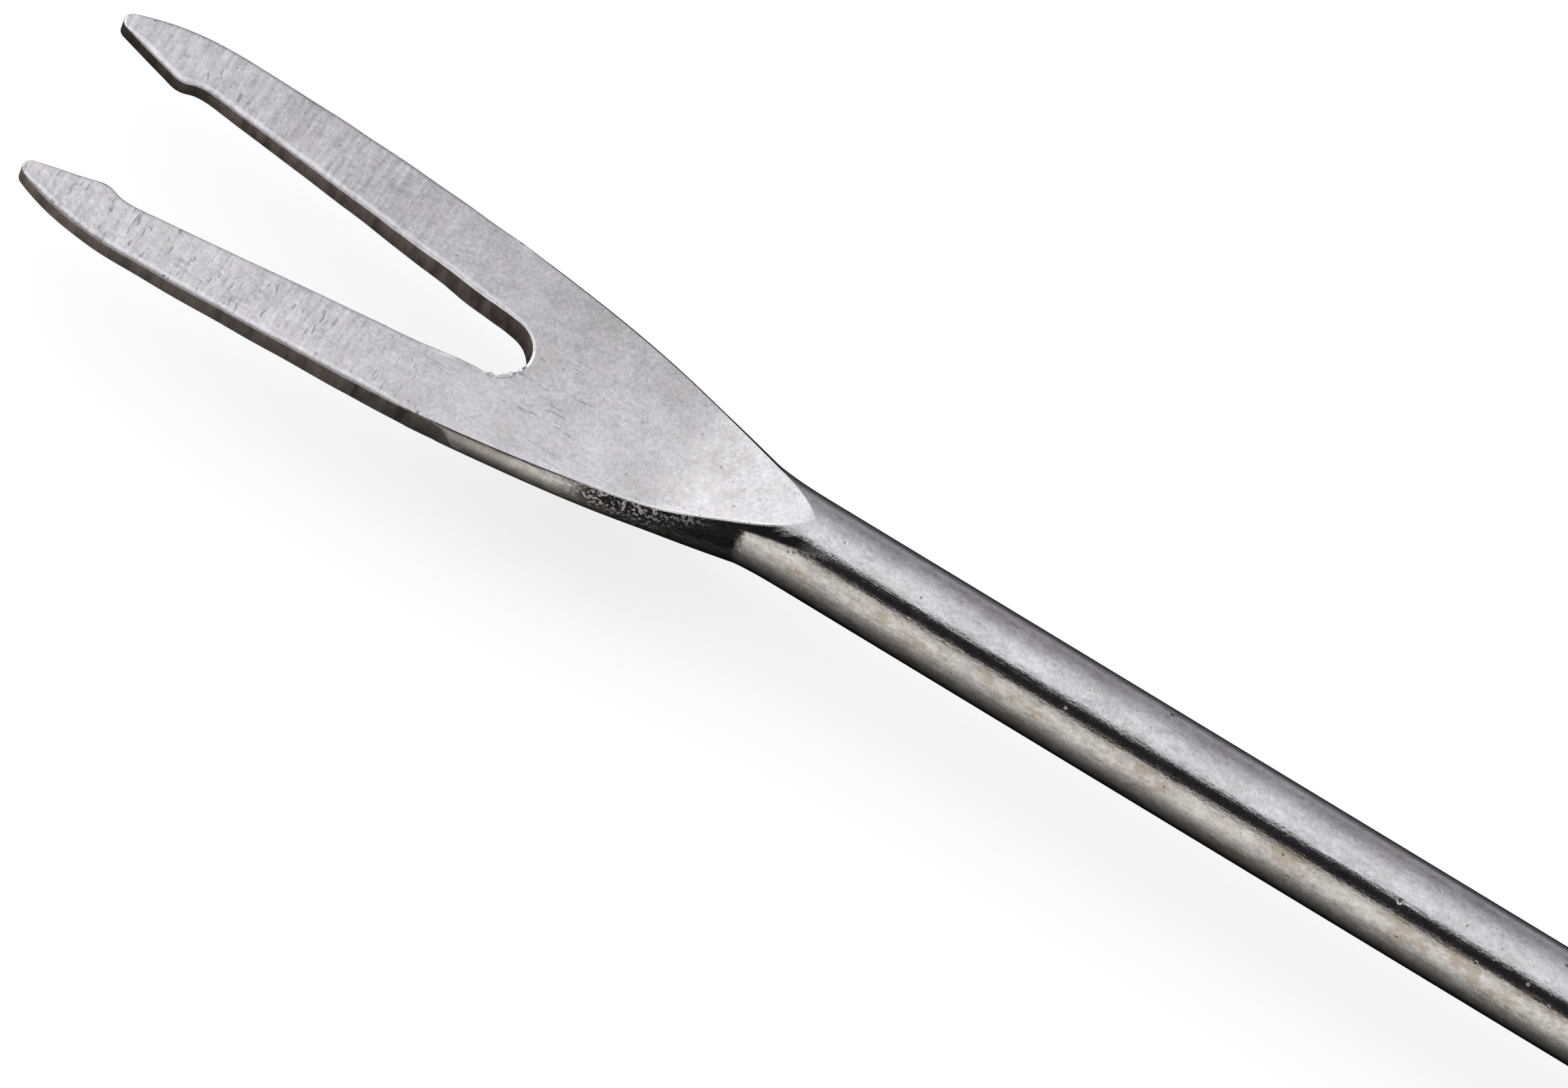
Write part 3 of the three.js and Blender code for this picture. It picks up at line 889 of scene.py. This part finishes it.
handle = dict(
    thickness=10,
    frontHalf=5.5,
    rearHalf=7,
    flankLength=15,
    tailLength=9,
    edgeRadius=2.4,
    cornerRadius=3,
    partingGap=0.1,
    pocketClearance=0.15,
    curveSteps=40,
    tailSteps=36,
    edgeSteps=8,
    cornerSteps=8,
    cutReach=1,          # how far the holes' tools pass the faces
    sharpAngle=math.radians(35),
)
rivet = dict(
    count=3,
    firstSetback=21,
    lastSetback=9,
    headRadius=2.7,
    headThickness=1.2,
    studRadius=1.05,
    sleeveRadius=1.7,
    holeRadius=1.8,
    clearance=0.1,
    endGap=0.6,
    floor=0.5,
    rim=0.1,
    rimCut=0.3,          # share of the rim at its middle point
    steps=64,
    holeSteps=32,
    tangCut=3,
    sharpAngle=math.radians(50),
)


def rivetPlaces():
    first = handleFront + rivet["firstSetback"]
    spacing = (barEnd - rivet["lastSetback"] - first) / (rivet["count"] - 1)
    return [first + i * spacing for i in range(rivet["count"])]


def scaleOutline():
    h = handle
    tail = handleRear - h["tailLength"]
    widest = tail - h["flankLength"]
    lead = (widest - handleFront) / 2
    flank = interpolate_bezier(
        Vector((handleFront, h["frontHalf"], 0)), Vector((handleFront + lead, h["frontHalf"], 0)),
        Vector((widest - lead, h["rearHalf"], 0)), Vector((widest, h["rearHalf"], 0)), h["curveSteps"])
    side = [(p.x, p.y) for p in flank]
    turns = [math.pi / 2 - math.pi * i / h["tailSteps"] for i in range(h["tailSteps"] + 1)]
    end = [(tail + h["tailLength"] * math.cos(a), h["rearHalf"] * math.sin(a)) for a in turns]
    return side + end + [(x, -y) for x, y in reversed(side)]


def handleScale(side, name, node, finish):
    h = handle
    half = h["thickness"] / 2
    bm = prism(scaleOutline(), h["partingGap"] / 2, half)
    corners = [e for e in bm.edges
               if all(abs(v.co.x - handleFront) < mergeGap for v in e.verts)
               and abs(e.verts[0].co.z - e.verts[1].co.z) > mergeGap]
    bmesh.ops.bevel(bm, geom=corners, offset=h["cornerRadius"], offset_type="OFFSET",
                    segments=h["cornerSteps"], profile=0.5, affect="EDGES", clamp_overlap=True, material=-1)
    rim = [e for e in bm.edges if all(v.co.z > half - mergeGap for v in e.verts)]
    bmesh.ops.bevel(bm, geom=rim, offset=h["edgeRadius"], offset_type="OFFSET",
                    segments=h["edgeSteps"], profile=0.5, affect="EDGES", clamp_overlap=True, material=-1)
    if side < 0:
        bmesh.ops.scale(bm, vec=(1, 1, -1), verts=bm.verts)
        bmesh.ops.recalc_face_normals(bm, faces=bm.faces)
    bm = carve(bm, loftBar(h["pocketClearance"]), "DIFFERENCE")
    seat = half - rivet["headThickness"] - rivet["clearance"]
    headHole = rivet["headRadius"] + rivet["clearance"]
    past = h["cutReach"]
    stepped = [(0, -past), (rivet["holeRadius"], -past), (rivet["holeRadius"], seat), (headHole, seat),
               (headHole, half + past), (0, half + past)]
    for x in rivetPlaces():
        bm = carve(bm, turned(x, [(r, side * z) for r, z in stepped], rivet["steps"]), "DIFFERENCE")
    pinHole = bar["pinRadius"] + rivet["clearance"]
    straight = [(0, -half - past), (pinHole, -half - past), (pinHole, half + past), (0, half + past)]
    bm = carve(bm, turned(pinPlace, straight, rivet["steps"]), "DIFFERENCE")
    piece = finishPiece(bm, name, node, finish)
    piece.data.set_sharp_from_angle(angle=h["sharpAngle"])


def rimmed(radius, outer, inward):  # rounded rim of a turned head, from its face to its side
    rim, cut = rivet["rim"], rivet["rimCut"]
    return [(radius - rim, outer), (radius - cut * rim, outer - cut * rim * inward),
            (radius, outer - rim * inward)]


def rivetPieces(finish):
    half = handle["thickness"] / 2
    seat = half - rivet["headThickness"]
    bore = rivet["studRadius"] + rivet["clearance"]
    stud = [(0, half)] + rimmed(rivet["headRadius"], half, 1)
    stud += [(rivet["headRadius"], seat), (rivet["studRadius"], seat)]
    stud += [(rivet["studRadius"], -half + rivet["floor"] + rivet["endGap"])]
    stud += [(0, -half + rivet["floor"] + rivet["endGap"])]
    sleeve = [(0, -half)] + rimmed(rivet["headRadius"], -half, -1)
    sleeve += [(rivet["headRadius"], -seat), (rivet["sleeveRadius"], -seat)]
    sleeve += [(rivet["sleeveRadius"], seat - rivet["clearance"]), (bore, seat - rivet["clearance"])]
    sleeve += [(bore, -half + rivet["floor"]), (0, -half + rivet["floor"])]
    for number, x in enumerate(rivetPlaces(), 1):
        for part, profile in (("stud", stud), ("sleeve", sleeve)):
            bm = turned(x, profile, rivet["steps"])
            piece = finishPiece(bm, f"rivet{part.title()}{number}", f"rivet_{number}_{part}",
                                finish)
            piece.data.set_sharp_from_angle(angle=rivet["sharpAngle"])


def colourPin(finish):
    half = handle["thickness"] / 2
    profile = [(0, half)] + rimmed(bar["pinRadius"], half, 1)
    profile += list(reversed(rimmed(bar["pinRadius"], -half, -1))) + [(0, -half)]
    piece = finishPiece(turned(pinPlace, profile, rivet["steps"]), "colourPin", "colour_pin",
                        finish)
    piece.data.set_sharp_from_angle(angle=rivet["sharpAngle"])


forkRod(steelFinish())
wood = woodFinish()
handleScale(1, "upperScale", "upper_scale", wood)
handleScale(-1, "lowerScale", "lower_scale", wood)
rivetPieces(brassFinish())
colourPin(plasticFinish())
print("handle done")


# Studio: white floor, and a sky with an overhead light, a warm front and a black gap at the camera

studio = dict(
    floorSize=40,
    floorDrop=0.0001,
    floorColour=(0.45, 0.45, 0.45, 1),
    floorLift=0.69,          # brings the floor up to white where nothing shades it
    frontShine=0.83,         # floor as the steel shows it, dark in the shade close under the fork
    rearShine=0.45,
    frontReach=0.015,
    rearReach=0.03,
    frontTint=(1.0, 0.945, 0.87, 1),
    rearTint=(1.0, 0.96, 1.02, 1),
    tintChange=(-0.003, 0.003),
    wingColour=(0.78, 0.78, 0.80, 1),     # sky towards both ends of the fork
    rightWing=(0.55, 0.85),
    leftWing=(0.5, 0.8),
    leftColour=(1.5, 1.49, 1.53, 1),      # brighter light towards the tips
    leftReach=(0.12, 0.42),
    leftArch=(0.40, 0.5, 0.78, 0.92),
    besideColour=(0.74, 0.72, 0.71, 1),   # to the left and right of the black gap
    gapArch=(0.19, 0.215, 0.372, 0.4),
    gapReach=(-0.42, -0.28, 0.34, 0.5),
)
skyBands = (                 # from the front horizon over the top to the rear horizon
    (0.014, (0.885, 0.83, 0.77)),
    (0.080, (0.91, 0.855, 0.79)),
    (0.130, (0.81, 0.76, 0.70)),
    (0.176, (0.68, 0.635, 0.59)),
    (0.188, (0.53, 0.49, 0.455)),
    (0.199, (0.07, 0.06, 0.055)),
    (0.214, (0.025, 0.023, 0.024)),
    (0.378, (0.025, 0.023, 0.025)),
    (0.390, (0.38, 0.37, 0.39)),
    (0.404, (0.98, 0.96, 0.98)),
    (0.470, (0.95, 0.94, 0.97)),
    (0.542, (1.00, 0.99, 1.02)),
    (0.596, (0.93, 0.92, 0.95)),
    (0.654, (0.86, 0.85, 0.89)),
    (0.714, (0.73, 0.72, 0.76)),
    (0.778, (0.57, 0.55, 0.59)),
    (0.848, (0.46, 0.44, 0.48)),
    (0.926, (0.33, 0.31, 0.34)),
    (1.000, (0.42, 0.40, 0.43)),
)


def studioLight():
    world = bpy.data.worlds.new("studio")
    scene.world = world
    world.use_nodes = True
    tree = world.node_tree
    way = Wire(tree.nodes.new("ShaderNodeTexCoord").outputs["Generated"])
    x, y, z = axes(way)
    arch = way.math("ARCTAN2", z, 0 - y) / math.pi
    bands = way.node("ShaderNodeValToRGB", {"stops": skyBands}, {"Fac": arch})
    wings = highest(between(x, *studio["rightWing"]), between(0 - x, *studio["leftWing"]))
    sky = blended(wings, bands, studio["wingColour"])
    leftLight = between(0 - x, *studio["leftReach"]) * window(arch, *studio["leftArch"])
    sky = blended(leftLight, sky, studio["leftColour"])
    besideGap = window(arch, *studio["gapArch"]) * (1 - window(x, *studio["gapReach"]))
    sky = blended(besideGap, sky, studio["besideColour"])
    plug(sky, tree.nodes["Background"], "Color")


def studioFloor():
    bm = bmesh.new()
    bmesh.ops.create_grid(bm, x_segments=1, y_segments=1, size=studio["floorSize"] / 2)
    bmesh.ops.translate(bm, verts=bm.verts, vec=(0, 0, -studio["floorDrop"]))
    floor = sheetObject(bm, "floor")
    paint = bpy.data.materials.new("paleFloor")
    paint.use_nodes = True
    floor.data.materials.append(paint)
    tree = paint.node_tree
    shader = tree.nodes["Principled BSDF"]
    shader.inputs["Base Color"].default_value = studio["floorColour"]
    shader.inputs["Roughness"].default_value = 1
    shader.inputs["Specular IOR Level"].default_value = 0
    path = tree.nodes.new("ShaderNodeLightPath")
    seen = Wire(path.outputs["Is Camera Ray"])
    shader.inputs["Emission Color"].default_value = (1, 1, 1, 1)
    plug(seen * studio["floorLift"], shader, "Emission Strength")

    # Steel and plastic show the pale floor too, with the shade under the fork
    mirrored = highest(Wire(path.outputs["Is Glossy Ray"]), Wire(path.outputs["Is Transmission Ray"]))
    place = Wire(tree.nodes.new("ShaderNodeTexCoord").outputs["Object"])
    y = axes(place)[1]
    behind = between(y, *studio["tintChange"])
    tint = blended(behind, studio["frontTint"], studio["rearTint"])
    shine = studio["frontShine"] + (studio["rearShine"] - studio["frontShine"]) * behind
    reach = studio["frontReach"] + (studio["rearReach"] - studio["frontReach"]) * behind
    shine = shine * y * y / (y * y + reach * reach)
    glow = tint.node("ShaderNodeEmission", {}, {"Color": tint, "Strength": shine})
    both = glow.node("ShaderNodeMixShader", {}, {0: mirrored, 1: Wire(shader.outputs[0]), 2: glow})
    plug(both, tree.nodes["Material Output"], "Surface")


studioLight()
studioFloor()
print("studio done")


# Camera at the photograph's viewing angle

shot = dict(
    lean=math.radians(30),       # from straight above towards the front
    swing=math.radians(5),
    roll=math.radians(31.2),     # of the bar in the picture
    along=28.99,                 # middle of the picture from the tips, in millimetres
    aside=-0.365,
    frameWidth=53.9,
    distance=1150,
    sensorWidth=36,
    nearest=0.01,                # in metres
    farthest=200,
)


def makeCamera():
    lean, swing, roll = shot["lean"], shot["swing"], shot["roll"]
    alongBar = Vector((math.cos(swing), math.sin(lean) * math.sin(swing), -math.cos(lean) * math.sin(swing)))
    acrossBar = Vector((0, math.cos(lean), math.sin(lean)))
    back = Vector((math.sin(swing), -math.sin(lean) * math.cos(swing), math.cos(lean) * math.cos(swing)))
    right = alongBar * math.cos(roll) + acrossBar * math.sin(roll)
    up = acrossBar * math.cos(roll) - alongBar * math.sin(roll)
    depth = shot["along"] * math.tan(swing)
    aim = alongBar * shot["along"] + acrossBar * shot["aside"] + back * depth
    data = bpy.data.cameras.new("camera")
    data.sensor_width = shot["sensorWidth"]
    data.lens = data.sensor_width * shot["distance"] / shot["frameWidth"]
    data.clip_start = shot["nearest"]
    data.clip_end = shot["farthest"]
    camera = bpy.data.objects.new("camera", data)
    scene.collection.objects.link(camera)
    turn = Matrix((right, up, back)).transposed().to_4x4()
    spot = tipPlace + (aim + back * shot["distance"]) * (1 / perMetre)
    camera.matrix_world = Matrix.Translation(spot) @ turn
    scene.camera = camera


makeCamera()
scene.view_settings.view_transform = "Standard"
